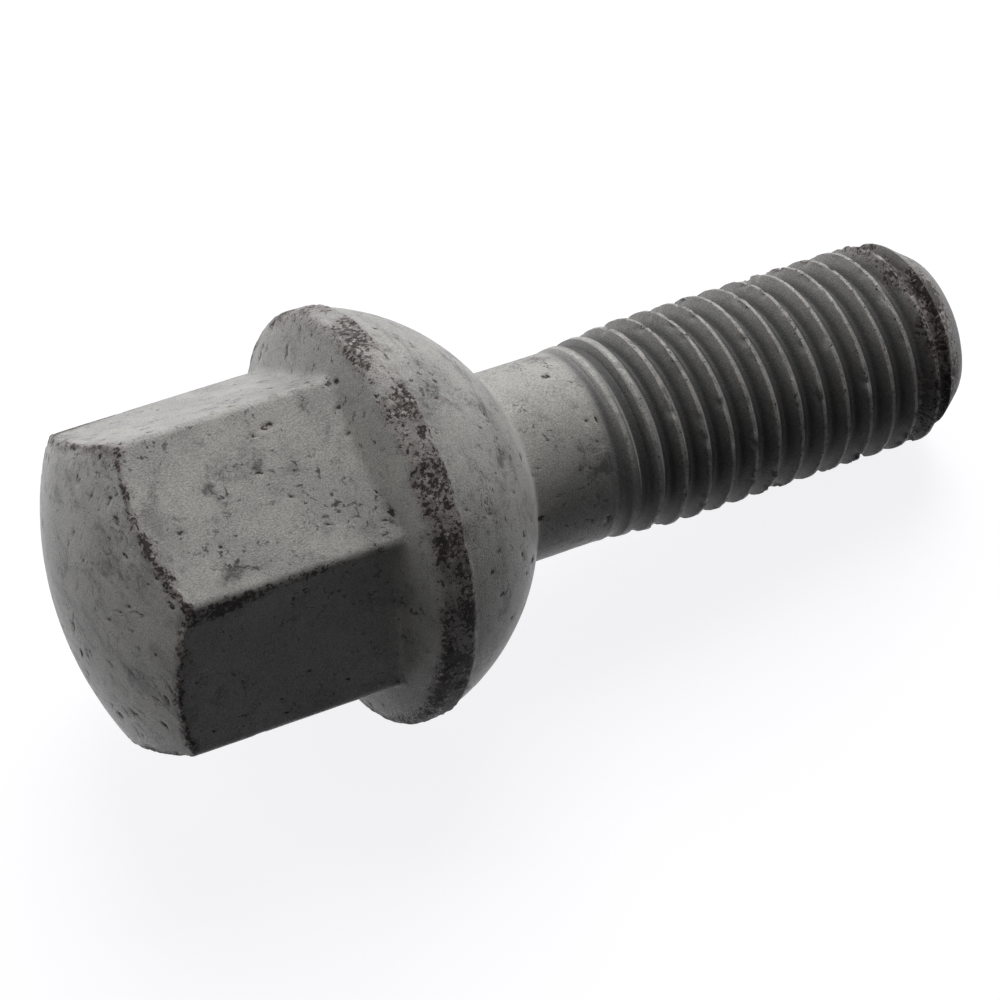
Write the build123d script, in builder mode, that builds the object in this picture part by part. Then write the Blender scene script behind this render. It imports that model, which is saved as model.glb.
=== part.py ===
# Wheel bolt, one forging: domed hexagon head, collar with a ball seat, plain shank, rolled thread.
# Millimetres. Heights run along the bolt from the centre of the ball seat, towards the tip.
import os
from math import asin, atan2, cos, degrees, radians, sin, sqrt, tan

from build123d import *

os.makedirs("parts", exist_ok=True)

# Rolled thread, M12 x 1.5, right-handed, and the blank that it is rolled on
pitch = 1.5
thread_d = 11.75
thread_depth = 0.57 * pitch
crest_flat = pitch / 8
flank_angle = 30.0
shank_d = thread_d - 0.61 * pitch

# Point, and the run-out where the crests rise out of the shank
tip_z = 39.0
point_angle = 36.0
point_length = 2.1
point_round = 0.5
runout_z = 15.4
runout_length = 5.0

# Collar with a ball seat of radius 12, its back dished between the flats and the rim
ball_r = 12.0
rim_r = 0.971 * ball_r
rim_back_z = 0.15 * ball_r
rim_front_z = 0.283 * ball_r
rim_step = 0.2
rim_round = 0.8
rim_front_round = 0.3
seat_fillet = 0.4
back_dish = 0.42

# Hexagon, 17 across the flats, with a dome on its end
across_flats = 17.0
hex_round = 0.65
hex_turn = 44.1
flat_end_z = 0.55
collar_fillet = 0.6
dome_r = 1.1 * across_flats
dome_z = -14.27
dome_round = 0.25

# Depth of the flats beaten into the rim and the last crest, on which the bolt comes to rest
bed = 0.04

# Step that keeps faces inside the bolt from lying on each other
skin = 0.02

# Share of the collar's land, from the hexagon's corners to the rim, that one round may take
land_share = 0.45

# Sizes that follow from these
thread_r = thread_d / 2
root_r = thread_r - thread_depth
shank_r = shank_d / 2
flat_r = across_flats / 2
corner_r = flat_r / cos(radians(30)) - hex_round * (1 / cos(radians(30)) - 1)
collar_land = rim_r - corner_r
point_z = tip_z - point_length
point_r = thread_r - point_length * tan(radians(point_angle))
seat_z = sqrt(ball_r**2 - shank_r**2)
step_z = rim_front_z + rim_step
step_r = sqrt(ball_r**2 - step_z**2)
step_angle = degrees(atan2(step_z, step_r))
rim_ball_r = rim_r - rim_front_round
rim_ball_z = rim_front_z - rim_front_round * tan(atan2(rim_r - step_r, rim_step) / 2)
runout_end_z = runout_z + runout_length
shank_end_z = runout_z + runout_length / 8
core_z = runout_z + 5 * runout_length / 8

# Ridge of the thread, turned so that its last full crest on the lower side meets the point's cone
crest_z = point_z - crest_flat / 2
turns = int((crest_z - runout_z) / pitch) + 2
ridge_z = crest_z - pitch * (turns - 0.5)
ridge_length = tip_z + pitch - ridge_z
sunk = 0.12 * pitch
foot_half = crest_flat / 2 + (thread_depth + sunk) * tan(radians(flank_angle))

with BuildPart() as thread:
    with BuildLine():
        helix = Helix(pitch, ridge_length, root_r, center=(0, 0, ridge_z))
    with BuildSketch(Plane.XZ):
        with BuildLine():
            Polyline(
                (root_r - sunk, ridge_z - foot_half),
                (thread_r, ridge_z - crest_flat / 2),
                (thread_r, ridge_z + crest_flat / 2),
                (root_r - sunk, ridge_z + foot_half),
                close=True,
            )
        make_face()
    sweep(path=helix, is_frenet=True)
    with BuildSketch(Plane.XY.offset(ridge_z - 2 * pitch)):
        Circle(root_r)
    extrude(amount=ridge_length + 4 * pitch)
    # What the rolling dies leave: low crests at the run-out, a cone at the point
    with BuildSketch(Plane.YZ):
        with BuildLine():
            Polyline(
                (0, runout_z),
                (shank_r - skin, runout_z),
                (thread_r + skin, runout_end_z),
                (thread_r + skin, point_z),
                (point_r, tip_z),
                (0, tip_z),
                close=True,
            )
        make_face()
        fillet(vertices().sort_by_distance((point_r, tip_z))[0], point_round)
    revolve(axis=Axis.Z, mode=Mode.INTERSECT)

# Collar, ball seat and shank, turned in one section, with a core that ends inside the thread
with BuildPart() as collar:
    with BuildSketch(Plane.YZ):
        with BuildLine():
            ThreePointArc(
                (flat_r, flat_end_z),
                ((flat_r + rim_r) / 2, flat_end_z + back_dish * (rim_back_z - flat_end_z)),
                (rim_r, rim_back_z),
            )
            Polyline((rim_r, rim_back_z), (rim_r, rim_front_z), (step_r, step_z))
            CenterArc((0, 0), ball_r, step_angle, degrees(atan2(seat_z, shank_r)) - step_angle)
            Polyline(
                (shank_r, seat_z),
                (shank_r, shank_end_z),
                (root_r - skin, core_z),
                (0, core_z),
                (0, flat_end_z - hex_round),
                (flat_r, flat_end_z),
            )
        make_face()
        fillet(vertices().sort_by_distance((shank_r, seat_z))[0], seat_fillet)
        fillet(vertices().sort_by_distance((rim_r, rim_back_z))[0], min(rim_round, land_share * collar_land))
        fillet(vertices().sort_by_distance((rim_r, rim_front_z))[0], rim_front_round)
    revolve(axis=Axis.Z)

# Hexagon head, its end rounded off by the dome
with BuildPart() as head:
    with BuildSketch(Plane.XY.offset(dome_z)):
        RegularPolygon(flat_r, 6, major_radius=False, rotation=hex_turn)
        fillet(vertices(), hex_round)
    extrude(amount=rim_back_z - dome_z)
    with BuildSketch(Plane.YZ):
        reach = 1.5 * flat_r
        lip_z = dome_z + dome_r - sqrt(dome_r**2 - reach**2)
        with BuildLine():
            CenterArc((0, dome_z + dome_r), dome_r, -90, degrees(asin(reach / dome_r)))
            Polyline((reach, lip_z), (reach, rim_front_z), (0, rim_front_z), (0, dome_z))
        make_face()
    revolve(axis=Axis.Z, mode=Mode.INTERSECT)
    brow_z = dome_z + dome_r - sqrt(dome_r**2 - flat_r**2)
    dome_edges = head.faces().filter_by(GeomType.SPHERE).edges()
    fillet(dome_edges.filter_by_position(Axis.Z, brow_z - dome_round, flat_end_z), dome_round)

with BuildPart() as upright:
    add(collar.part)
    add(head.part)
    fillet(upright.edges(Select.NEW), min(collar_fillet, land_share * collar_land))
    add(thread.part)

# At rest the bolt lies on a flat in the front round of its rim and on one in the thread's last full crest
rise, run = rim_ball_r - thread_r, point_z - rim_ball_z
rest = atan2(rise, run) + asin(rim_front_round / sqrt(rise**2 + run**2))
rest_z = rim_ball_r * cos(rest) + rim_ball_z * sin(rest) + rim_front_round - bed
along = (cos(rest), 0, -sin(rest))
above = (sin(rest), 0, cos(rest))

with BuildPart(Plane(origin=(0, 0, rest_z), x_dir=above, z_dir=along)) as laid:
    add(upright.part)
    split(bisect_by=Plane.XY, keep=Keep.TOP)
middle = laid.part.bounding_box().center()

with BuildPart(Plane(origin=(-middle.X, 0, 0))) as wheel_bolt:
    add(laid.part)
wheel_bolt.part.label = "wheel_bolt"
export_step(wheel_bolt.part, "parts/wheel_bolt.step")
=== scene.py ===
from math import asin, atan2, cos, hypot, pi, radians, sin, sqrt, tan

import bmesh
import bpy
from mathutils import Matrix, Vector, noise


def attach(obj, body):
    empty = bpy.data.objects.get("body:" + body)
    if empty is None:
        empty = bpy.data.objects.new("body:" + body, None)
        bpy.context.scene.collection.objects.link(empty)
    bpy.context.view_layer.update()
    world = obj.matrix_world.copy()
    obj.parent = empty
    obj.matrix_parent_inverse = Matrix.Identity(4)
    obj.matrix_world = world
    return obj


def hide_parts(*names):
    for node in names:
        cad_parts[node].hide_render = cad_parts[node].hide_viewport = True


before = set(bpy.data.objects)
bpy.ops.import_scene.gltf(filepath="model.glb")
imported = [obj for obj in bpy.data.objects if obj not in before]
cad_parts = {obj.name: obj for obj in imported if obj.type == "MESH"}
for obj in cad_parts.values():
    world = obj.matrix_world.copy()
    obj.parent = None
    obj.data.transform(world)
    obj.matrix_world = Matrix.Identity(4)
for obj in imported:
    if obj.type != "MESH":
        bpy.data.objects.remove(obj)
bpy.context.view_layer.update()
scene = bpy.context.scene
scene.view_settings.view_transform = "Standard"
print("frame loaded")

# The bolt is modelled upright in millimetres: tip up, the centre of its ball seat at zero, and only then laid down
lying = {
    "slope": 9.7545,                            # degrees that the axis dips towards the tip
    "ballCentre": (-12.4017, 0.0, 12.0019),
    "metresPerMm": 0.001,
}

boltHead = {
    "acrossFlats": 17.0,
    "cornerRound": 0.65,
    "turn": 44.1,                               # degrees from straight up to the first corner
    "domeRadius": 18.7,
    "domeTop": -14.27,
    "domeEdge": 0.25,
    "flatEnd": 0.55,
    "footRound": 0.6,
    "columns": 312,
    "crowding": 0.5,                            # how far columns crowd to the corners
    "domeRings": 34,
    "domeCrowding": 1.6,                        # how far rings crowd to the dome's edge
    "edgeSteps": 4,
    "flatRings": 44,
    "flatCrowding": 1.5,
    "footSteps": 6,
}

collar = {
    "ballRadius": 12.0,
    "rimRadius": 11.652,
    "rimBack": 1.8,
    "rimFront": 3.396,
    "rimStep": 0.2,
    "backRound": 0.8,
    "frontRound": 0.3,
    "dish": 0.42,
    "seatRound": 0.4,
    "landRings": 6,
    "backSteps": 8,
    "rimRings": 5,
    "frontSteps": 4,
    "ballRings": 36,
    "seatSteps": 4,
}

thread = {
    "pitch": 1.5,
    "radius": 5.875,
    "depth": 0.855,
    "crestFlat": 0.1875,
    "crestBreak": (0.06, 0.035),                # share of the depth and width of the broken crest edge
    "flankShares": (0.3, 0.55, 0.8),            # rings down a flank, as shares of the depth
    "rootBreak": (0.95, 0.08),
    "flankAngle": 30.0,
    "shankRadius": 5.4175,
    "shankEnd": 13.8,                           # where the screw part takes over from the plain shank
    "shankRings": 11,
    "shankJoint": 0.25,                         # the strip that joins shank and screw part
    "lowCrest": 15.4,                           # crests rise out of the shank from here
    "fullCrest": 20.4,
    "lowGroove": 16.025,                        # grooves sink into the shank from here
    "fullGroove": 18.525,
    "lastCrest": 36.80625,                      # crest on the lower side that meets the point
    "turnsBelow": 16.5,                         # turns wound below that crest
    "turns": 19,
    "pointStart": 36.9,
    "pointAngle": 36.0,
    "pointRound": 0.5,
    "pointSteps": 4,
    "tip": 39.0,
    "tipCut": 0.5,                              # the screw part is cut off this far below the tip
    "tipRings": (3.2, 2.2, 1.2, 0.4),
    "columns": 180,
}

meshing = {
    "weld": 0.001,
    "turnWeld": 0.01,
    "cutWeld": 0.0001,
    "slack": 0.02,
    "sharpAngle": 38.0,
}


def between(a, b, x):
    t = min(1.0, max(0.0, (x - a) / (b - a)))
    return t * t * (3 - 2 * t)


def inBand(limits, x):
    startsAt, fullAt, fadesAt, endsAt = limits
    return between(startsAt, fullAt, x) * (1 - between(fadesAt, endsAt, x))


def share(a, b, x):
    return min(1.0, max(0.0, (x - a) / (b - a)))


def roundCorner(before, corner, after, steps):
    points = []
    for i in range(steps + 1):
        t = i / steps
        points.append(before * (1 - t) ** 2 + corner * (2 * t * (1 - t)) + after * t ** 2)
    return points


def straight(a, b, steps, ease=1.0):
    return [a.lerp(b, (i / steps) ** ease) for i in range(1, steps)]


def hexReach(angle):
    # distance from the axis to the rounded hexagon in this direction
    flat, rnd = boltHead["acrossFlats"] / 2, boltHead["cornerRound"]
    off = abs((angle - radians(boltHead["turn"]) + pi / 6) % (pi / 3) - pi / 6)
    middle = (flat - rnd) / cos(pi / 6)
    if off < atan2(rnd / 2, middle + rnd * cos(pi / 6)):
        return middle * cos(off) + sqrt(rnd ** 2 - (middle * sin(off)) ** 2)
    return flat / cos(pi / 6 - off)


def domeHeight(r):
    dome = boltHead["domeRadius"]
    return boltHead["domeTop"] + dome - sqrt(dome ** 2 - r ** 2)


def collarBack(r):
    # the dished back, a parabola through the flats, the middle of the land and the rim
    a, b = boltHead["acrossFlats"] / 2, collar["rimRadius"]
    low, high = boltHead["flatEnd"], collar["rimBack"]
    t = (r - a) / (b - a)
    bow = 4 * (collar["dish"] - 0.5) * (high - low)
    height = low + (high - low) * t + bow * t * (1 - t)
    slope = ((high - low) + bow * (1 - 2 * t)) / (b - a)
    return height, slope


def domeAndFlat(reach):
    # from the dome's top over its edge and down the hexagon, which stands this far from the axis, to the collar
    dome, rings = boltHead["domeRadius"], boltHead["domeRings"]
    lean = asin(reach / dome)
    edge = Vector((reach, boltHead["domeTop"] + dome * (1 - cos(lean))))
    cut = boltHead["domeEdge"] * tan((pi / 2 - lean) / 2)
    domeEnd = edge - cut * Vector((cos(lean), sin(lean)))
    line = []
    for i in range(rings):
        r = domeEnd.x * (1 - (1 - i / rings) ** boltHead["domeCrowding"])
        line.append(Vector((r, domeHeight(r))))
    line += roundCorner(domeEnd, edge, edge + Vector((0, cut)), boltHead["edgeSteps"])

    height, slope = collarBack(reach)
    rise = atan2(slope, 1)
    foot = Vector((reach, height))
    cut = boltHead["footRound"] * tan((pi / 2 - rise) / 2)
    footStart = foot - Vector((0, cut))
    footEnd = foot + cut * Vector((cos(rise), sin(rise)))
    line += straight(line[-1], footStart, boltHead["flatRings"], boltHead["flatCrowding"])
    return line + roundCorner(footStart, foot, footEnd, boltHead["footSteps"])


def collarAndShank(start):
    # from the hexagon's foot over the rim and the ball seat to the end of the plain shank
    line = [start]
    rim = Vector((collar["rimRadius"], collar["rimBack"]))
    rise = atan2(collarBack(rim.x)[1], 1)
    cut = collar["backRound"] * tan((pi / 2 - rise) / 2)
    backEnd = rim - cut * Vector((cos(rise), sin(rise)))
    for i in range(collar["landRings"]):
        r = line[-1].x + (backEnd.x - line[-1].x) / (collar["landRings"] + 1 - i)
        line.append(Vector((r, collarBack(r)[0])))
    line += roundCorner(backEnd, rim, rim + Vector((0, cut)), collar["backSteps"])

    front = Vector((collar["rimRadius"], collar["rimFront"]))
    ball = collar["ballRadius"]
    stepZ = front.y + collar["rimStep"]
    step = Vector((sqrt(ball ** 2 - stepZ ** 2), stepZ))
    fall = atan2(front.x - step.x, step.y - front.y)
    cut = collar["frontRound"] * tan(fall / 2)
    roundStart = front - Vector((0, cut))
    roundEnd = front + cut * Vector((-sin(fall), cos(fall)))
    line += straight(line[-1], roundStart, collar["rimRings"])
    line += roundCorner(roundStart, front, roundEnd, collar["frontSteps"])
    line.append(step)

    shank, rings = thread["shankRadius"], collar["ballRings"]
    seat = Vector((shank, sqrt(ball ** 2 - shank ** 2)))
    swing = atan2(seat.y, seat.x)
    cut = collar["seatRound"] * tan(swing / 2)
    first, last = atan2(step.y, step.x), swing - cut / ball
    for i in range(1, rings):
        a = first + (last - first) * i / rings
        line.append(Vector((ball * cos(a), ball * sin(a))))
    ballEnd = Vector((ball * cos(last), ball * sin(last)))
    line += roundCorner(ballEnd, seat, seat + Vector((0, cut)), collar["seatSteps"])
    shankEnd = Vector((shank, thread["shankEnd"]))
    line += straight(line[-1], shankEnd, thread["shankRings"])
    return line[1:] + [shankEnd]


def headLine(reach):
    # the half section from the dome's top to the screw part, where the hexagon stands this far from the axis
    line = domeAndFlat(reach)
    return line + collarAndShank(line[-1])


def turnHead(bm):
    # one half section is spun round, then its columns are pressed out to the hexagon
    ringOf = bm.verts.layers.int.new("ring")
    flat = boltHead["acrossFlats"] / 2
    verts = []
    for i, p in enumerate(headLine(flat)):
        v = bm.verts.new((p.x, 0, p.y))
        v[ringOf] = i
        verts.append(v)
    edges = [bm.edges.new(pair) for pair in zip(verts, verts[1:])]
    bmesh.ops.spin(bm, geom=verts + edges, cent=(0, 0, 0), axis=(0, 0, 1), dvec=(0, 0, 0),
                   angle=2 * pi, steps=boltHead["columns"], use_merge=True, use_duplicate=False)
    bmesh.ops.remove_doubles(bm, verts=bm.verts[:], dist=meshing["weld"])

    # columns crowd to the corners on the head and spread evenly again across the land
    footRing = sum(boltHead[name] for name in ("domeRings", "edgeSteps", "flatRings", "footSteps"))
    rimRing = footRing + collar["landRings"] + 2
    lines = {}
    for v in bm.verts:
        ring = v[ringOf]
        angle = atan2(v.co.y, v.co.x)
        crowd = boltHead["crowding"] * (1 - between(footRing, rimRing, ring))
        angle -= crowd * sin(6 * (angle - radians(boltHead["turn"]))) / 6
        reach = round(hexReach(angle), 6)
        if reach not in lines:
            lines[reach] = headLine(reach)
        p = lines[reach][ring]
        v.co = (p.x * cos(angle), p.x * sin(angle), p.y)


def screwRadius(r, z):
    # low crests and shallow grooves at the run-out, a cone at the point
    shank, full = thread["shankRadius"], thread["radius"]
    root = full - thread["depth"]
    crest = shank + (full - shank) * share(thread["lowCrest"], thread["fullCrest"], z)
    groove = shank + (root - shank) * share(thread["lowGroove"], thread["fullGroove"], z)
    point = full - max(0.0, z - thread["pointStart"]) * tan(radians(thread["pointAngle"]))
    return min(point, max(groove, min(crest, r)))


def ridgeLine():
    # depth below the crest, as a share, and place along the bolt of each point across one pitch
    half = thread["crestFlat"] / 2
    flank = thread["depth"] * tan(radians(thread["flankAngle"]))
    crestShare, crestWidth = thread["crestBreak"]
    rootShare, rootWidth = thread["rootBreak"]
    ridge = [(0.0, half), (crestShare, half + crestWidth)]
    ridge += [(d, half + d * flank) for d in thread["flankShares"]]
    ridge += [(rootShare, half + flank), (1.0, half + flank + rootWidth)]
    end = thread["pitch"] / 2
    return [(1.0, -end)] + [(d, -z) for d, z in reversed(ridge)] + ridge + [(1.0, end)]


grooveFade = {
    "runOut": (-0.9, 0.1),                      # the groove value sets in here, from the first low groove
    "point": (0.2, 0.9),                        # and ends here, from the start of the point
}


def screwThread():
    # one pitch of the ridge is wound up the bolt, and turn joins turn
    bm = bmesh.new()
    grooveOf = bm.verts.layers.float.new("groove")
    pitch, columns = thread["pitch"], thread["columns"]
    start = thread["lastCrest"] - thread["turnsBelow"] * pitch
    verts = []
    for d, z in ridgeLine():
        v = bm.verts.new((thread["radius"] - d * thread["depth"], 0, start + z))
        v[grooveOf] = d
        verts.append(v)
    edges = [bm.edges.new(pair) for pair in zip(verts, verts[1:])]
    bmesh.ops.spin(bm, geom=verts + edges, cent=(0, 0, 0), axis=(0, 0, 1), dvec=(0, 0, pitch / columns),
                   angle=2 * pi, steps=columns, use_merge=False, use_duplicate=False)
    oneTurn = bm.verts[:] + bm.edges[:] + bm.faces[:]
    for i in range(1, thread["turns"]):
        copy = bmesh.ops.duplicate(bm, geom=oneTurn)["geom"]
        copied = [v for v in copy if isinstance(v, bmesh.types.BMVert)]
        bmesh.ops.translate(bm, verts=copied, vec=(0, 0, i * pitch))
    bmesh.ops.remove_doubles(bm, verts=bm.verts[:], dist=meshing["turnWeld"])
    cuts = ((thread["shankEnd"] + thread["shankJoint"], False), (thread["tip"] - thread["tipCut"], True))
    for z, above in cuts:
        bmesh.ops.bisect_plane(bm, geom=bm.verts[:] + bm.edges[:] + bm.faces[:], dist=meshing["cutWeld"],
                               plane_co=(0, 0, z), plane_no=(0, 0, 1), clear_inner=not above, clear_outer=above)
    for v in bm.verts:
        r = hypot(v.co.x, v.co.y)
        new = screwRadius(r, v.co.z)
        v[grooveOf] *= between(*(thread["lowGroove"] + x for x in grooveFade["runOut"]), v.co.z)
        v[grooveOf] *= 1 - between(*(thread["pointStart"] + x for x in grooveFade["point"]), v.co.z)
        v.co.x *= new / r
        v.co.y *= new / r
    return bm


def closeTip(bm, rim):
    # the rim of the point is drawn in over the round and across the flat end
    tip, angle = thread["tip"], radians(thread["pointAngle"])
    corner = Vector((thread["radius"] - (tip - thread["pointStart"]) * tan(angle), tip))
    cut = thread["pointRound"] * tan((pi / 2 - angle) / 2)
    roundStart = corner - cut * Vector((-sin(angle), cos(angle)))
    steps = roundCorner(roundStart, corner, corner - Vector((cut, 0)), thread["pointSteps"])
    steps += [Vector((r, tip)) for r in thread["tipRings"]]
    for p in steps:
        out = bmesh.ops.extrude_edge_only(bm, edges=rim)["geom"]
        rim = [e for e in out if isinstance(e, bmesh.types.BMEdge) and e.is_boundary]
        for v in {v for e in rim for v in e.verts}:
            r = hypot(v.co.x, v.co.y)
            v.co = (v.co.x * p.x / r, v.co.y * p.x / r, p.y)
    bmesh.ops.pointmerge(bm, verts=list({v for e in rim for v in e.verts}), merge_co=(0, 0, tip))


# Bands are in mm along the bolt: starts, full, fades, ends. A cover is the share of the coat that has gone, and on
# the rim it also holds painted shade
wearMarks = {
    "skin": 0.012,                              # unevenness of the forged skin, mm
    "headEnd": (1.0, 11.0),                     # the head lies below this height and within this radius
    "rimStart": 10.9,                           # the rim lies outside this radius
    "edgeNick": 0.09,                           # deepest nick in the head's edges
    "edgeNickAt": (0.0, 0.55),                  # values of the pattern where nicks start and are deepest
    "edgeChipAt": (-0.6, 0.45),
    "edgeWidth": 2.0,                           # nothing further in than this counts as edge
    "edgeReach": 1.0,                           # how far from the dome's edge the coat is chipped
    "edgeCover": 0.7,
    "lineReach": (0.08, 0.4),                   # the same for the dark line on the edge itself
    "lineCover": (0.42, 0.4),                   # middle and how much it varies
    "cornerDirt": (1.0, 0.6, 0.8, 0.4, 0.7, 0.15),    # how dirty each corner is, from the first one on
    "cornerDome": (0.5, 7.5),                   # how far from the dome its dirt reaches
    "cornerWidth": (0.25, 0.5),                 # width of the dirt below a corner, full and faded
    "cornerWiden": (0.35, 0.8),                 # and what is added near the dome
    "cornerAt": (-0.2, 0.2),                    # across the corner, where its dirt starts
    "cornerEnds": ((0.0, 0.3), (-0.6, 0.2)),    # from the dome's edge, and along the bolt at the collar
    "cornerCover": (0.42, 0.38, 0.35),          # away from the dome, more at the dome, how much it varies
    "rimBand": (1.15, 1.85, 3.45, 3.75),
    "rimRough": 0.1,
    "rimDents": (0.45, 0.8),                    # shares of small hits and of dents in that
    "rimDentAt": (0.15, 0.7),
    "rimCoverAndShade": (0.66, 0.022, 0.32),            # middle, less for each mm upwards so that painted shade darkens the rim's lower side, how much it varies
    "crestNick": 0.2,
    "crestNickAt": (0.28, 0.75),
    "crestRough": 0.02,
    "crestDepth": (0.05, 0.4),                  # shares of the groove's depth where a crest ends
    "crestCover": 0.3,
    "crestEnd": (0.3, 1.2),                     # worn crests fade out here, from the start of the point
    "tipBand": (34.6, 36.4, 38.2, 38.9),
    "tipCover": (0.55, 0.5),
    "pit": 0.07,
    "pitAt": (0.55, 0.8),
    "pitCover": 0.75,
    "smearStart": (13.4, 15.0),                 # smears on the shank next to the thread
    "smearCover": (0.1, 0.45),
}

# Where each pattern of wear is read from the noise, and the size of its grain in mm
patterns = {
    "skin": ((0, 0, 0), 2.6),
    "edgeNick": ((7, 3, 1), 0.5),
    "edgeWear": ((2, 9, 4), 1.6),
    "edgeLine": ((9, 1, 5), 0.9),
    "cornerDirt": ((5, 2, 8), 1.4),
    "rimHit": ((1, 6, 2), 0.6),
    "rimDent": ((0, 0, 0), 1.2),
    "rimWear": ((0, 0, 0), 1.8),
    "crestNick": ((3, 3, 9), 0.8),
    "crestRough": ((0, 0, 0), 0.5),
    "tipWear": ((8, 1, 3), 2.2),
    "pit": ((4, 8, 6), 0.7),
    "smear": ((6, 4, 1), 1.8),
}


fractal = {
    "fall": 0.9,
    "step": 2.1,
    "octaves": 4,
}


def rough(p, name):
    shift, size = patterns[name]
    return noise.fractal((p + Vector(shift)) / size, fractal["fall"], fractal["step"], fractal["octaves"])


def headWear(p, r):
    # nicks and chips along the dome's edge, a dark line on it, and dirt rubbed in below each corner
    angle = atan2(p.y, p.x)
    reach = hexReach(angle)
    brow = domeHeight(reach)
    toEdge = hypot(min(0.0, r - reach + meshing["slack"]), p.z - brow)
    if r < boltHead["acrossFlats"] / 2 - wearMarks["edgeWidth"]:
        toEdge = boltHead["acrossFlats"]
    onEdge = 1 - between(0.0, wearMarks["edgeReach"], toEdge)
    push = -wearMarks["edgeNick"] * onEdge ** 2 * between(*wearMarks["edgeNickAt"], rough(p, "edgeNick"))
    chips = wearMarks["edgeCover"] * onEdge * between(*wearMarks["edgeChipAt"], rough(p, "edgeWear"))
    middle, varies = wearMarks["lineCover"]
    line = (middle + varies * rough(p, "edgeLine")) * (1 - between(*wearMarks["lineReach"], toEdge))

    corner = (angle - radians(boltHead["turn"]) + pi / 6) / (pi / 3)
    off = (corner % 1 - 0.5) * pi / 3 * r
    nearDome = 1 - between(*wearMarks["cornerDome"], p.z - brow)
    widths = [w + more * nearDome for w, more in zip(wearMarks["cornerWidth"], wearMarks["cornerWiden"])]
    below = between(*wearMarks["cornerAt"], off) * (1 - between(*widths, off))
    atEdge, atCollar = wearMarks["cornerEnds"]
    below *= between(*atEdge, p.z - brow) * (1 - between(*atCollar, p.z))
    away, atDome, varies = wearMarks["cornerCover"]
    dirt = wearMarks["cornerDirt"][int(corner // 1) % 6] * below
    dirt *= away + atDome * nearDome + varies * rough(p, "cornerDirt")
    return push, max(chips, line, dirt)


def rimWear(p):
    band = inBand(wearMarks["rimBand"], p.z)
    hits, dents = wearMarks["rimDents"]
    beaten = hits * rough(p, "rimHit") - dents * between(*wearMarks["rimDentAt"], rough(p, "rimDent"))
    middle, shadeDownwards, varies = wearMarks["rimCoverAndShade"]
    # the cover thins upwards: painted shade that darkens the rim towards the bottom
    coverAndShade = middle - shadeDownwards * p.x + varies * rough(p, "rimWear")
    return wearMarks["rimRough"] * band * beaten, band * coverAndShade


def threadWear(p, groove):
    crest = 1 - between(*wearMarks["crestDepth"], groove)
    crest *= between(thread["lowCrest"], thread["fullCrest"], p.z)
    crest *= 1 - between(*(thread["pointStart"] + x for x in wearMarks["crestEnd"]), p.z)
    push = -wearMarks["crestNick"] * crest * between(*wearMarks["crestNickAt"], rough(p, "crestNick"))
    push += wearMarks["crestRough"] * crest * rough(p, "crestRough")
    middle, varies = wearMarks["tipCover"]
    nearTip = inBand(wearMarks["tipBand"], p.z) * (middle + varies * rough(p, "tipWear"))
    return push, max(wearMarks["crestCover"] * crest, nearTip)


def plainWear(p):
    pit = between(*wearMarks["pitAt"], rough(p, "pit"))
    middle, varies = wearMarks["smearCover"]
    smear = between(*wearMarks["smearStart"], p.z) * (middle + varies * rough(p, "smear"))
    return -wearMarks["pit"] * pit, max(wearMarks["pitCover"] * pit, smear)


def wearSurface(bm):
    # wear is pressed into the mesh, and the wear layer says how much of the coat has gone there, plus painted
    # shade low on the rim
    wearAndShadeOf = bm.verts.layers.float.new("wearAndShade")
    grooveOf = bm.verts.layers.float["groove"]
    bm.normal_update()
    headEnd, headRadius = wearMarks["headEnd"]
    moves = []
    for v in bm.verts:
        p = v.co.copy()
        r = hypot(p.x, p.y)
        found = [(wearMarks["skin"] * rough(p, "skin"), 0.0)]
        if p.z < headEnd and r < headRadius:
            found.append(headWear(p, r))
        if r > wearMarks["rimStart"]:
            found.append(rimWear(p))
        found.append(threadWear(p, v[grooveOf]) if p.z > thread["lowCrest"] else plainWear(p))
        v[wearAndShadeOf] = max(wearAndShade for push, wearAndShade in found)
        moves.append((v, v.normal * sum(push for push, wearAndShade in found)))
    for v, move in moves:
        v.co += move


def layDown():
    dip = radians(lying["slope"])
    along, above, side = (cos(dip), 0, -sin(dip)), (sin(dip), 0, cos(dip)), (0, -1, 0)
    turn = Matrix((above, side, along)).transposed().to_4x4()
    return Matrix.Scale(lying["metresPerMm"], 4) @ Matrix.Translation(lying["ballCentre"]) @ turn


def joinScrew(bm):
    # the screw part is brought in, joined to the shank and closed at the tip
    screw = screwThread()
    mesh = bpy.data.meshes.new("screw")
    screw.to_mesh(mesh)
    screw.free()
    head = set(bm.verts)
    bm.from_mesh(mesh)
    bpy.data.meshes.remove(mesh)
    rims = [e for e in bm.edges if e.is_boundary]
    headRim = [e for e in rims if e.verts[0] in head]
    screwRims = [e for e in rims if e.verts[0] not in head]
    low = [e for e in screwRims if e.verts[0].co.z < thread["fullCrest"]]
    high = [e for e in screwRims if e.verts[0].co.z > thread["fullCrest"]]
    bmesh.ops.bridge_loops(bm, edges=headRim + low)
    closeTip(bm, high)
    bmesh.ops.remove_doubles(bm, verts=bm.verts[:], dist=meshing["weld"])
    bmesh.ops.recalc_face_normals(bm, faces=bm.faces[:])


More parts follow.
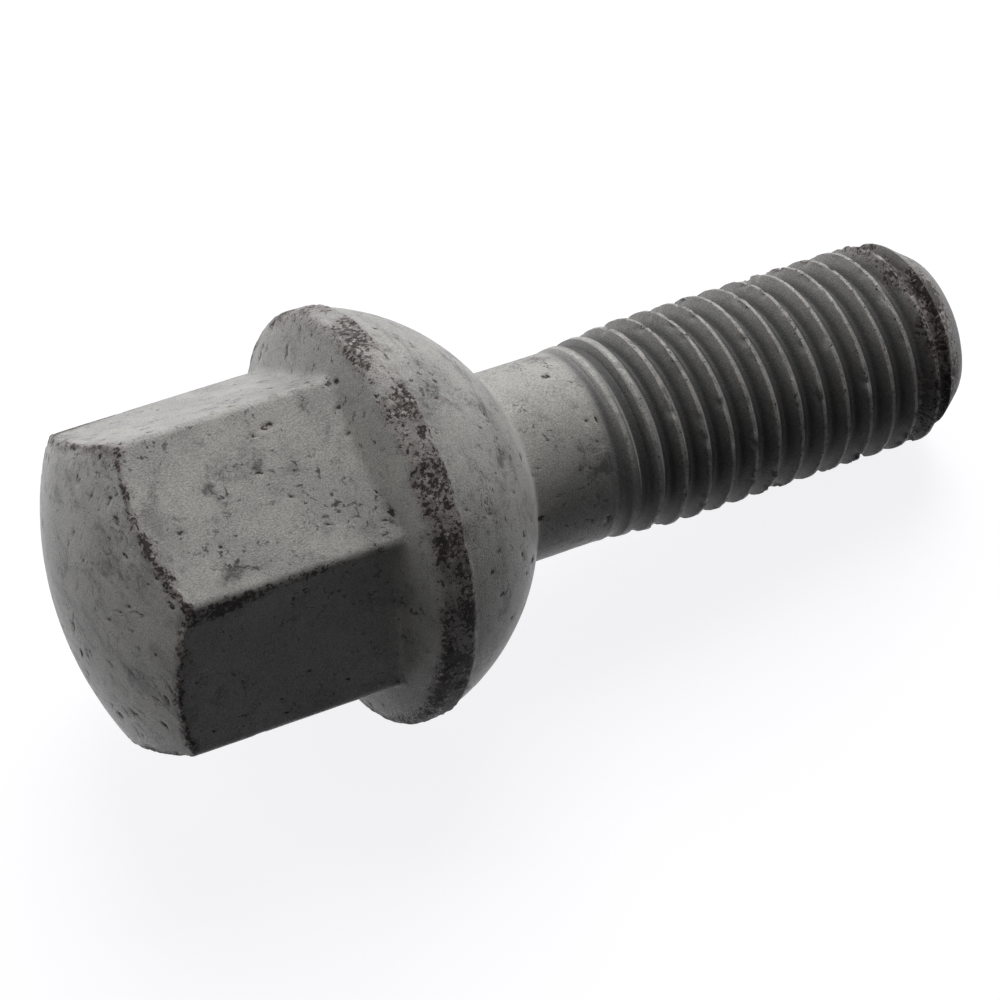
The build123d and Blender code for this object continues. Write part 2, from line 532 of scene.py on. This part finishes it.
def makeBolt():
    bm = bmesh.new()
    bm.verts.layers.float.new("groove")
    turnHead(bm)
    print("head and collar turned:", len(bm.faces), "faces")

    joinScrew(bm)
    openEdges = sum(not e.is_manifold for e in bm.edges)
    print("thread wound and joined:", len(bm.faces), "faces,", openEdges, "open edges")

    wearSurface(bm)
    for f in bm.faces:
        f.smooth = True
    for e in bm.edges:
        e.smooth = e.calc_face_angle(0.0) < radians(meshing["sharpAngle"])
    bm.transform(layDown())
    for v in bm.verts:
        v.co.z = max(0.0, v.co.z)                             # flat where it rests
    mesh = bpy.data.meshes.new("worn_wheel_bolt")
    bm.to_mesh(mesh)
    print("wear pressed in:", sum(len(f.verts) - 2 for f in bm.faces), "triangles")
    bm.free()
    bolt = bpy.data.objects.new("worn_wheel_bolt", mesh)
    scene.collection.objects.link(bolt)
    return bolt


coat = {
    "light": (0.44, 0.432, 0.405, 1),
    "dark": (0.35, 0.345, 0.328, 1),
    "grain": (1.2, 0.72),                       # how much lighter and darker single grains are
    "scuff": (0.042, 0.039, 0.038, 1),
    "dirt": (0.16, 0.156, 0.155, 1),
    "ground": (0.19, 0.165, 0.156, 1),          # dirty coat between the chips
    "worn": (0.026, 0.021, 0.019, 1),
    "rust": (0.1, 0.077, 0.066, 1),
    "chipped": (0.46, 0.415, 0.395, 1),
    # light crest colour: bare burnished coat, and a painted highlight along the crests
    "bareAndHighlight": (0.50, 0.49, 0.47, 1),
    # painted shade for the thread's roots
    "groove": (0.07, 0.068, 0.069, 1),
    "flank": (0.24, 0.236, 0.232, 1),
    "roughness": (0.45, 0.62),
    "specular": 0.0,
    "sheen": 0.3,
    "sheenRoughness": 0.4,
    "film": (1.0, 0.45),                        # thin clear film that brightens at a slant, whole and worn off
    "filmIor": 1.22,
    "filmRoughness": 0.25,
    "bumpStrength": 0.5,
    "bumpDepth": 0.00008,
}

# Noise scale per mm, detail, roughness, and the values where a mark starts and where it is full
marks = {
    "clouds": (0.3, 4.0, 0.55, 0.35, 0.65),
    "domeSmears": (1.0, 6.0, 0.65, 0.5, 0.66),
    "domeDashes": (1.0, 4.0, 0.6, 0.58, 0.66),
    "dashPlaces": (0.28, 2.0, 0.55, 0.4, 0.55),
    "ballSmears": (1.0, 5.0, 0.65, 0.5, 0.68),
    "stains": (0.42, 9.0, 0.72, 0.5, 0.66),
    "stainHearts": (0.42, 9.0, 0.72, 0.58, 0.68),
    "scratchPlaces": (0.45, 2.0, 0.55, 0.53, 0.6),
    "scratchBreaks": (4.0, 3.0, 0.55, 0.42, 0.56),
    "speckPlaces": (0.3, 2.0, 0.55, 0.42, 0.6),
    "specks": (2.0, 5.0, 0.65, 0.585, 0.66),
    "crestBreaks": (1.8, 5.0, 0.7, 0.42, 0.58),
    "paleChips": (2.4, 4.0, 0.6, 0.5, 0.6),
    "rustPlaces": (1.8, 6.0, 0.75, 0.48, 0.66),
    "glossPlaces": (1.5, 4.0, 0.55, 0.3, 0.7),
}

# Noise scale per mm, detail, roughness and, for scratches, distortion of the patterns that aren't plain marks
textures = {
    "chips": (4.2, 5.0, 0.68),
    "sand": (11.0, 2.0, 0.6),
    "scratches": (0.5, 3.5, 0.5, 0.5),
}

# Values where a layer starts and is full, and, where there are four, how strong it is at both
limits = {
    "scratchLevel": (0.5, 0.014),               # middle and width of a scratch in its noise
    "dashes": (4.0, -5.0, 0.35, 1.0),           # from the upper to the lower side of the dome, mm
    "flank": (0.02, 0.2, 0.35, 0.85),           # shares of the groove's depth
    # where the painted shade in the grooves starts and is full
    "groove": (0.35, 1.0),
    "crest": (0.05, 0.01),
    "ground": (0.12, 0.55),                     # values of the wear layer
    "paleChips": (0.2, 0.6),
    "worn": (0.45, 0.62),
    "sand": (0.28, 0.72),
}

relief = {
    "scuffs": 0.18,                             # depth of each mark against that of the sandy grain
    "worn": 0.6,
    "chips": 1.2,
    "chipSpread": 2.2,                          # how far chips break up the edge of what is worn
}

# How strongly each mark covers what lies below it
amounts = {
    "domeSmears": 0.55,
    "ballSmears": 0.5,
    "stains": 0.5,
    "stainHearts": 0.65,
    "loneSpecks": 0.2,                          # specks outside the clusters
    "scuffs": 0.88,
    # strength of the painted shade in the grooves
    "grooves": 0.9,
    # strength of the crests' bare coat and painted highlight
    "crests": 0.75,
    "ground": 0.7,
    "paleChips": 0.75,
    "worn": 0.92,
    "tipEnd": (0.3, 0.9),                       # thread grey on the flat end and on the point
}

# Turn in degrees and scale of the marks that are drawn out in one direction
drawnOut = {
    "domeSmears": ((0, 0, 0), (0.7, 0.3, 0.5)),
    "domeDashes": ((0, 0, 8), (2.3, 0.8, 1.5)),
    "ballSmears": ((0, 0, 0), (0.15, 0.15, 1.3)),
}

# Where a part of the bolt starts and where it is full, mm along the bolt
zones = {
    "dome": (-10.0, -11.5),
    "ball": (3.4, 4.2),
    "ballEnd": (11.2, 10.0),
    "thread": (14.9, 16.0),
    "point": (36.7, 37.1),
    "crestEnd": (37.1, 36.9),
    "tipEnd": (38.98, 38.7),
}


def node(tree, kind, **settings):
    n = tree.nodes.new(kind)
    for name, value in settings.items():
        setattr(n, name, value)
    return n


def noiseNode(tree, where, scale, detail=4.0, roughness=0.55, distortion=0.0):
    n = node(tree, "ShaderNodeTexNoise")
    n.inputs["Scale"].default_value = scale
    n.inputs["Detail"].default_value = detail
    n.inputs["Roughness"].default_value = roughness
    n.inputs["Distortion"].default_value = distortion
    tree.links.new(where, n.inputs["Vector"])
    return n.outputs["Fac"]


def ramp(tree, value, low, high, bottom=0.0, top=1.0):
    n = node(tree, "ShaderNodeMapRange", interpolation_type="SMOOTHSTEP")
    for name, x in (("From Min", low), ("From Max", high), ("To Min", bottom), ("To Max", top)):
        n.inputs[name].default_value = x
    tree.links.new(value, n.inputs["Value"])
    return n.outputs["Result"]


def combine(tree, operation, a, b):
    n = node(tree, "ShaderNodeMath", operation=operation)
    for socket, x in zip(n.inputs, (a, b)):
        if isinstance(x, (int, float)):
            socket.default_value = x
        else:
            tree.links.new(x, socket)
    return n.outputs[0]


def times(tree, *factors):
    out = factors[0]
    for x in factors[1:]:
        out = combine(tree, "MULTIPLY", out, x)
    return out


def most(tree, *values):
    out = values[0]
    for x in values[1:]:
        out = combine(tree, "MAXIMUM", out, x)
    return out


def thinLines(tree, value, level, width):
    # narrow bands where the noise passes this level, as scratches do
    gap = combine(tree, "ABSOLUTE", combine(tree, "SUBTRACT", value, level), 0.0)
    return ramp(tree, gap, 0.3 * width, width, 1.0, 0.0)


def over(tree, factor, base, top):
    n = node(tree, "ShaderNodeMix", data_type="RGBA")
    tree.links.new(factor, n.inputs["Factor"])
    for socket, colour in ((n.inputs[6], base), (n.inputs[7], top)):
        if isinstance(colour, tuple):
            socket.default_value = colour
        else:
            tree.links.new(colour, socket)
    return n.outputs[2]


def mark(tree, at, name, bottom=0.0, top=1.0):
    if name in drawnOut:
        turn, scale = drawnOut[name]
        n = node(tree, "ShaderNodeMapping")
        n.inputs["Rotation"].default_value = [radians(x) for x in turn]
        n.inputs["Scale"].default_value = scale
        tree.links.new(at, n.inputs["Vector"])
        at = n.outputs["Vector"]
    scale, detail, roughness, low, high = marks[name]
    return ramp(tree, noiseNode(tree, at, scale, detail, roughness), low, high, bottom, top)


def boltPlace(tree):
    # Object coordinates, turned back to the bolt's own millimetres
    place = node(tree, "ShaderNodeMapping", vector_type="TEXTURE")
    place.inputs["Location"].default_value = [lying["metresPerMm"] * x for x in lying["ballCentre"]]
    place.inputs["Rotation"].default_value = layDown().to_euler()
    place.inputs["Scale"].default_value = [lying["metresPerMm"]] * 3
    tree.links.new(node(tree, "ShaderNodeTexCoord").outputs["Object"], place.inputs["Vector"])
    at = place.outputs["Vector"]
    split = node(tree, "ShaderNodeSeparateXYZ")
    tree.links.new(at, split.inputs[0])
    return at, split.outputs["X"], split.outputs["Z"]


def scuffMarks(tree, at, above, onDome):
    # a few long broken scratches, specks in clusters, and dashes on the dome, more of them low down
    crooked = noiseNode(tree, at, *textures["scratches"])
    broken = times(tree, mark(tree, at, "scratchPlaces"), mark(tree, at, "scratchBreaks"))
    scratch = times(tree, thinLines(tree, crooked, *limits["scratchLevel"]), broken)
    speck = times(tree, mark(tree, at, "speckPlaces", amounts["loneSpecks"]), mark(tree, at, "specks"))
    low = ramp(tree, above, *limits["dashes"])
    dash = times(tree, onDome, low, mark(tree, at, "domeDashes"), mark(tree, at, "dashPlaces"))
    return most(tree, scratch, speck, dash)


def coatColour(tree, at, along, onDome, scuffs):
    # coat with clouds, smears on the dome and round the ball, ragged stains with dark hearts, and scuffs
    colour = over(tree, mark(tree, at, "clouds"), coat["light"], coat["dark"])
    smear = times(tree, onDome, mark(tree, at, "domeSmears"), amounts["domeSmears"])
    colour = over(tree, smear, colour, coat["dirt"])
    onBall = times(tree, ramp(tree, along, *zones["ball"]), ramp(tree, along, *zones["ballEnd"]))
    smear = times(tree, onBall, mark(tree, at, "ballSmears"), amounts["ballSmears"])
    colour = over(tree, smear, colour, coat["dirt"])
    colour = over(tree, mark(tree, at, "stains", 0.0, amounts["stains"]), colour, coat["dirt"])
    colour = over(tree, mark(tree, at, "stainHearts", 0.0, amounts["stainHearts"]), colour, coat["scuff"])
    return over(tree, times(tree, scuffs, amounts["scuffs"]), colour, coat["scuff"])


def threadColour(tree, at, along, groove, colour):
    # dark flanks, painted shade deep in the grooves, and burnished, broken crests lightened by a painted highlight
    onThread = ramp(tree, along, *zones["thread"])
    beforeEnd = ramp(tree, along, *zones["tipEnd"], *amounts["tipEnd"])
    onPoint = times(tree, ramp(tree, along, *zones["point"]), beforeEnd)
    flank = most(tree, times(tree, onThread, ramp(tree, groove, *limits["flank"])), onPoint)
    colour = over(tree, flank, colour, coat["flank"])
    # painted shade: the roots of the thread are darkened nearly to black
    rootShade = times(tree, ramp(tree, groove, *limits["groove"]), amounts["grooves"])
    colour = over(tree, rootShade, colour, coat["groove"])
    # crest lines are lightened: burnished wear, and a painted highlight
    onCrest = times(tree, onThread, ramp(tree, along, *zones["crestEnd"]), ramp(tree, groove, *limits["crest"]))
    crest = times(tree, onCrest, mark(tree, at, "crestBreaks"), amounts["crests"])
    return over(tree, crest, colour, coat["bareAndHighlight"])


def wornColour(tree, at, wearAndShade, worn, colour):
    # edges and rim: the coat is dirty and chipped, and brown-black where it has gone; low on the rim this
    # brown-black is also painted shade
    dirty = ramp(tree, wearAndShade, *limits["ground"], 0.0, amounts["ground"])
    colour = over(tree, dirty, colour, coat["ground"])
    chipped = ramp(tree, wearAndShade, *limits["paleChips"])
    pale = times(tree, chipped, mark(tree, at, "paleChips"), amounts["paleChips"])
    colour = over(tree, pale, colour, coat["chipped"])
    brown = over(tree, mark(tree, at, "rustPlaces"), coat["worn"], coat["rust"])
    return over(tree, times(tree, worn, amounts["worn"]), colour, brown)


def sandyColour(tree, sand, colour):
    grains = node(tree, "ShaderNodeMix", data_type="RGBA", blend_type="MULTIPLY")
    grains.inputs["Factor"].default_value = 1.0
    tree.links.new(colour, grains.inputs[6])
    tree.links.new(ramp(tree, sand, *limits["sand"], *coat["grain"]), grains.inputs[7])
    return grains.outputs[2]


def zincFlakeCoat():
    material = bpy.data.materials.new("zinc_flake_coat")
    material.use_nodes = True
    tree = material.node_tree
    shader = tree.nodes["Principled BSDF"]
    at, above, along = boltPlace(tree)
    wearAndShade = node(tree, "ShaderNodeAttribute", attribute_name="wearAndShade").outputs["Fac"]
    groove = node(tree, "ShaderNodeAttribute", attribute_name="groove").outputs["Fac"]
    onDome = ramp(tree, along, *zones["dome"])
    scuffs = scuffMarks(tree, at, above, onDome)
    sand = noiseNode(tree, at, *textures["sand"])
    chips = noiseNode(tree, at, *textures["chips"])
    breakUp = times(tree, combine(tree, "SUBTRACT", chips, 0.5), relief["chipSpread"])
    worn = ramp(tree, combine(tree, "ADD", wearAndShade, breakUp), *limits["worn"])

    colour = coatColour(tree, at, along, onDome, scuffs)
    colour = threadColour(tree, at, along, groove, colour)
    colour = wornColour(tree, at, wearAndShade, worn, colour)
    tree.links.new(sandyColour(tree, sand, colour), shader.inputs["Base Color"])
    tree.links.new(mark(tree, at, "glossPlaces", *coat["roughness"]), shader.inputs["Roughness"])
    tree.links.new(ramp(tree, worn, 0.0, 1.0, *coat["film"]), shader.inputs["Coat Weight"])
    fixed = {"Specular IOR Level": "specular", "Sheen Weight": "sheen", "Sheen Roughness": "sheenRoughness",
             "Coat IOR": "filmIor", "Coat Roughness": "filmRoughness"}
    for socket, name in fixed.items():
        shader.inputs[socket].default_value = coat[name]

    beaten = most(tree, times(tree, scuffs, relief["scuffs"]), times(tree, worn, relief["worn"]))
    sunk = combine(tree, "ADD", beaten, times(tree, wearAndShade, chips, relief["chips"]))
    height = combine(tree, "SUBTRACT", sand, sunk)
    bump = node(tree, "ShaderNodeBump")
    bump.inputs["Strength"].default_value = coat["bumpStrength"]
    bump.inputs["Distance"].default_value = coat["bumpDepth"]
    tree.links.new(height, bump.inputs["Height"])
    for socket in ("Normal", "Coat Normal"):
        tree.links.new(bump.outputs["Normal"], shader.inputs[socket])
    return material


bolt = makeBolt()
bolt.data.materials.append(zincFlakeCoat())
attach(bolt, "root")
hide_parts("wheel_bolt")
print("bolt coated")


studio = {
    "floorSize": 3.0,
    "floorSeen": (0.22, 0.22, 0.22, 1),         # share of the floor's light that the shadow takes away
    "floorGlow": 0.88,
    "floorTint": (0.985, 0.98, 1.0, 1),
    "floorBounce": (0.105, 0.103, 0.12, 1),     # colour of the floor in the light that it throws on the bolt
    "sky": (0.0, 0.0, 0.0, 1),
    "skySeen": (1.0, 1.0, 1.0, 1),
    "lampAim": (0, 0, 0.008),
    "lampSize": 0.35,
}

lamps = {                                       # place in metres and power in watts
    "back": ((0.212, 0.4, 0.211), 0.66),
    "backHigh": ((0.134, 0.253, 0.41), 1.86),
    "backLow": ((0.233, 0.439, 0.052), 0.52),
    "left": ((-0.4, 0.212, 0.211), 0.58),
    "leftLow": ((-0.497, 0.026, 0.052), 0.20),
    "right": ((0.497, 0.018, 0.052), 0.60),
}

view = {
    "lens": 161.822,
    "sensor": 36.0,
    "clipStart": 0.01,
    "elevation": 56.246,
    "heading": 27.96,                           # degrees that the view turns from +Y towards +X
    "aim": (-0.002054, -0.001739, 0.00996),
    "distance": 0.2449,
}


def seenRay(tree):
    ray = node(tree, "ShaderNodeLightPath").outputs
    return most(tree, ray["Is Camera Ray"], ray["Is Glossy Ray"], ray["Is Transmission Ray"])


def diffuse(tree, colour):
    n = node(tree, "ShaderNodeBsdfDiffuse")
    n.inputs["Color"].default_value = colour
    return n.outputs[0]


def floorMaterial():
    # white where it is seen, darker where it throws light on the bolt
    material = bpy.data.materials.new("pale_floor")
    material.use_nodes = True
    tree = material.node_tree
    tree.nodes.remove(tree.nodes["Principled BSDF"])
    glow = node(tree, "ShaderNodeEmission")
    glow.inputs["Color"].default_value = studio["floorTint"]
    glow.inputs["Strength"].default_value = studio["floorGlow"]
    white = node(tree, "ShaderNodeAddShader")
    tree.links.new(diffuse(tree, studio["floorSeen"]), white.inputs[0])
    tree.links.new(glow.outputs[0], white.inputs[1])
    mix = node(tree, "ShaderNodeMixShader")
    tree.links.new(seenRay(tree), mix.inputs[0])
    tree.links.new(diffuse(tree, studio["floorBounce"]), mix.inputs[1])
    tree.links.new(white.outputs[0], mix.inputs[2])
    tree.links.new(mix.outputs[0], tree.nodes["Material Output"].inputs["Surface"])
    return material


def layFloor():
    bm = bmesh.new()
    bmesh.ops.create_grid(bm, x_segments=1, y_segments=1, size=studio["floorSize"])
    mesh = bpy.data.meshes.new("pale_floor")
    bm.to_mesh(mesh)
    bm.free()
    mesh.materials.append(floorMaterial())
    floor = bpy.data.objects.new("pale_floor", mesh)
    scene.collection.objects.link(floor)


def hangLamps():
    for name, (place, power) in lamps.items():
        data = bpy.data.lights.new(name, "AREA")
        data.shape = "SQUARE"
        data.size = studio["lampSize"]
        data.energy = power
        lamp = bpy.data.objects.new(name, data)
        lamp.location = place
        lamp.rotation_euler = (Vector(studio["lampAim"]) - lamp.location).to_track_quat("-Z", "Y").to_euler()
        scene.collection.objects.link(lamp)


def hangSky():
    world = bpy.data.worlds.new("studio")
    scene.world = world
    world.use_nodes = True
    tree = world.node_tree
    colour = over(tree, seenRay(tree), studio["sky"], studio["skySeen"])
    tree.links.new(colour, tree.nodes["Background"].inputs["Color"])


def setCamera():
    data = bpy.data.cameras.new("camera")
    data.lens = view["lens"]
    data.sensor_width = view["sensor"]
    data.clip_start = view["clipStart"]
    camera = bpy.data.objects.new("camera", data)
    tilt, heading = radians(view["elevation"]), radians(view["heading"])
    back = Vector((-cos(tilt) * sin(heading), -cos(tilt) * cos(heading), sin(tilt)))
    camera.location = Vector(view["aim"]) + view["distance"] * back
    camera.rotation_euler = (pi / 2 - tilt, 0, -heading)
    scene.collection.objects.link(camera)
    scene.camera = camera


layFloor()
hangLamps()
hangSky()
setCamera()
print("studio set")
